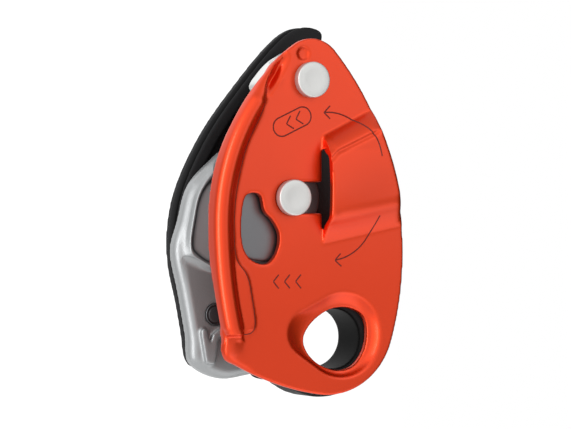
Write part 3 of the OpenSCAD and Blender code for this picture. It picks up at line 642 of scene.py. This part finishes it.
# Laser-burnt dye, also used for the painted shadow line at the strip's edge: dark red-brown and
# dull, with soot in specks of 0.5 mm.
burnt_and_shadow_ink, tree, shader = new_surface("laser_burnt_and_shadow_lines", "5E160B", 0.4, 0.6)
soot = put(tree, "ShaderNodeTexNoise", {"Scale": 1 / 0.0005, "Detail": 2},
           {"Vector": put(tree, "ShaderNodeTexCoord").outputs["Object"]})
char = put(tree, "ShaderNodeValToRGB", None, {"Fac": soot.outputs["Fac"]})
char.color_ramp.elements[0].color = linear("521209")
char.color_ramp.elements[1].color = linear("6A1B0E")
tree.links.new(char.outputs["Color"], shader.inputs["Base Color"])
place(edge_line, burnt_and_shadow_ink, "side_plate", "orange_aluminium")
place(engraved, burnt_and_shadow_ink, "side_plate", "orange_aluminium")

# Axles: turned stainless rivets with flat heads. The upper one is the swinging plate's hinge; the
# lower one carries the cam and holds the plate shut by its head over the slot.
PIVOT = (-9.45, 69.0)
HEAD = [(0, 2.19), (2.2, 2.21), (2.6, 2.27), (4.3, 2.3), (4.55, 2.22), (4.7, 2.03), (4.75, 1.75),
        (4.75, 0)]
PIVOT_SEAT = -9.05
PIVOT_SHANK = [(3.0, PIVOT_SEAT), (3.0, 10.0), (4.15, 10.0), (4.15, 10.7), (3.65, 11.2), (0, 11.2)]
CAM_SEAT = -9.3
CAM_SHANK = [(3.3, CAM_SEAT), (3.3, -6.0), (4.0, -6.0), (4.0, 14.8), (6.0, 14.8), (6.0, 15.7),
             (5.4, 16.3), (0, 16.3)]
RING_GAP = 0.00028
# Turned stainless rivet heads: satin, with rings left by the closing tool, 0.25 mm apart and drawn
# at 0.28 mm. The wave texture turns by 20 radians for each unit of its scale.
for name, node, centre, seat, shank in (
        ("pivot_axle", "side_plate_axle", PIVOT, PIVOT_SEAT, PIVOT_SHANK),
        ("cam_pin", "cam_axle", CAM_AXLE, CAM_SEAT, CAM_SHANK)):
    rivet = spun(name, centre, [(r, seat - proud) for r, proud in HEAD] + shank, rounding=0.09)
    head, tree, shader = new_surface("turned_stainless_" + name, "BEBEBC", 0.65, 0.34)
    centred = put(tree, "ShaderNodeMapping",
                  {"Location": (-centre[0] / 1000, 0, -centre[1] / 1000)},
                  {"Vector": put(tree, "ShaderNodeTexCoord").outputs["Object"]})
    rings = put(tree, "ShaderNodeTexWave",
                {"Scale": 2 * math.pi / 20 / RING_GAP, "Distortion": 0.6, "Detail": 2},
                {"Vector": centred.outputs["Vector"]}, wave_type="RINGS", rings_direction="Y")
    turned = put(tree, "ShaderNodeValToRGB", None, {"Fac": rings.outputs["Fac"]})
    turned.color_ramp.elements[0].color = linear("B2B2B0")
    turned.color_ramp.elements[1].color = linear("D0D0CE")
    tree.links.new(turned.outputs["Color"], shader.inputs["Base Color"])
    polish = put(tree, "ShaderNodeMapRange", {"To Min": 0.38, "To Max": 0.5},
                 {"Value": rings.outputs["Fac"]})
    tree.links.new(polish.outputs["Result"], shader.inputs["Roughness"])
    bump = put(tree, "ShaderNodeBump", {"Strength": 0.12, "Distance": 0.00003},
               {"Height": rings.outputs["Fac"]})
    tree.links.new(bump.outputs["Normal"], shader.inputs["Normal"])
    place(rivet, head, "frame", "steel", node)
    rivet.data.set_sharp_from_angle(angle=math.radians(40))

# Studio, in metres: a pale paper floor well below the device, kept out of its reflections; a tall
# softbox on the left, a small one in front and a light table below; a graded surround. The camera
# is 27 degrees to the left of the front, level with the device's middle.
FLOOR_HALF = 3
FLOOR_Z = -0.3
floor_mesh = bpy.data.meshes.new("floor")
work = bmesh.new()
bmesh.ops.create_grid(work, x_segments=2, y_segments=2, size=FLOOR_HALF,
                      matrix=Matrix.Translation((0, 0, FLOOR_Z)))
work.to_mesh(floor_mesh)
work.free()
floor = added("floor", floor_mesh)
# White paper: matt, with a faint tooth of 2 mm.
paper, tree, shader = new_surface("white_paper", "F4F4F4", 0.0, 0.9)
tooth = put(tree, "ShaderNodeTexNoise", {"Scale": 1 / 0.002, "Detail": 2},
            {"Vector": put(tree, "ShaderNodeTexCoord").outputs["Object"]})
bump = put(tree, "ShaderNodeBump", {"Strength": 0.02}, {"Height": tooth.outputs["Fac"]})
tree.links.new(bump.outputs["Normal"], shader.inputs["Normal"])
floor.data.materials.append(paper)
floor.visible_glossy = False

# The surround is white to the camera. To the device it is grey, brightest in a band 33 degrees up,
# with a dark flag on the right, a grey screen behind on the left and a darker place in front on
# the right, which the swinging plate's flat front mirrors to the camera.
HORIZON = 0.64
world = bpy.data.worlds.new("studio")
bpy.context.scene.world = world
world.use_nodes = True
tree = world.node_tree
tree.nodes.clear()
way = put(tree, "ShaderNodeTexCoord").outputs["Generated"]
shares = []
for toward, start, end, clear, shaded in (
        ((0.995, 0.087, 0.05), 0.48, 0.8, 1.18, 0.06),
        ((-0.8, 0.6, 0), 0.78, 0.97, 1.0, 0.5),
        ((0.454, -0.891, 0), 0.8, 0.97, 1.0, 0.66)):
    close = put(tree, "ShaderNodeVectorMath", {1: toward}, {0: way}, operation="DOT_PRODUCT")
    share = put(tree, "ShaderNodeMapRange",
                {"From Min": start, "From Max": end, "To Min": clear, "To Max": shaded},
                {"Value": close.outputs["Value"]}, interpolation_type="SMOOTHSTEP")
    shares.append(share.outputs["Result"])
height = put(tree, "ShaderNodeSeparateXYZ", None, {"Vector": way})
upward = put(tree, "ShaderNodeMapRange", {"From Min": -1.0}, {"Value": height.outputs["Z"]})
bands = put(tree, "ShaderNodeValToRGB", None, {"Fac": upward.outputs["Result"]})
for at, value in ((0.6, HORIZON), (0.7, HORIZON), (0.775, 0.84), (0.85, 0.66)):
    bands.color_ramp.elements.new(at).color = (value, value, value, 1)
bands.color_ramp.elements[0].color = (0.62, 0.62, 0.62, 1)
bands.color_ramp.elements[-1].color = (0.42, 0.42, 0.42, 1)
graded = put(tree, "ShaderNodeMath", {1: 1 / HORIZON}, {0: bands.outputs["Color"]},
             operation="MULTIPLY")
shares.append(graded.outputs[0])
room = shares[0]
for share in shares[1:]:
    room = put(tree, "ShaderNodeMath", None, {0: room, 1: share}, operation="MULTIPLY").outputs[0]
ray = put(tree, "ShaderNodeLightPath")
seen = put(tree, "ShaderNodeMath", None,
           {0: ray.outputs["Is Camera Ray"], 1: ray.outputs["Is Transmission Ray"]},
           operation="MAXIMUM")
level = put(tree, "ShaderNodeMath", None, {0: room, 1: seen.outputs[0]}, operation="MAXIMUM")
sky = put(tree, "ShaderNodeBackground", {"Color": (1, 1, 1, 1)}, {"Strength": level.outputs[0]})
put(tree, "ShaderNodeOutputWorld", None, {"Surface": sky.outputs[0]})

for name, at, aim, size, power in (
        ("left_softbox", (-0.6, -0.2, 0.09), (-0.012, 0, 0.035), (0.22, 0.7), 3.0),
        ("front_softbox", (0.11, -0.22, 0.125), (-0.01, -0.009, 0.09), (0.14, 0.2), 0.08),
        ("light_table", (0.22, -0.3, -0.28), (0.22, -0.3, 0.1), (0.35, 0.6), 0.5)):
    lamp = bpy.data.lights.new(name, "AREA")
    lamp.shape = "RECTANGLE"
    lamp.size, lamp.size_y = size
    lamp.energy = power
    light = added(name, lamp)
    light.location = at
    light.visible_camera = False
    light.rotation_euler = (Vector(aim) - Vector(at)).to_track_quat("-Z", "Y").to_euler()

TURN = math.radians(-27)
AIM = Vector((-0.0123, 0, 0.0333))
DISTANCE = 0.75
camera = added("camera", bpy.data.cameras.new("camera"))
camera.data.lens = 176.7
camera.data.sensor_width = 36
camera.location = AIM + DISTANCE * Vector((math.sin(TURN), -math.cos(TURN), 0))
camera.rotation_euler = (AIM - camera.location).to_track_quat("-Z", "Y").to_euler()
bpy.context.scene.camera = camera
bpy.context.scene.view_settings.view_transform = "Standard"
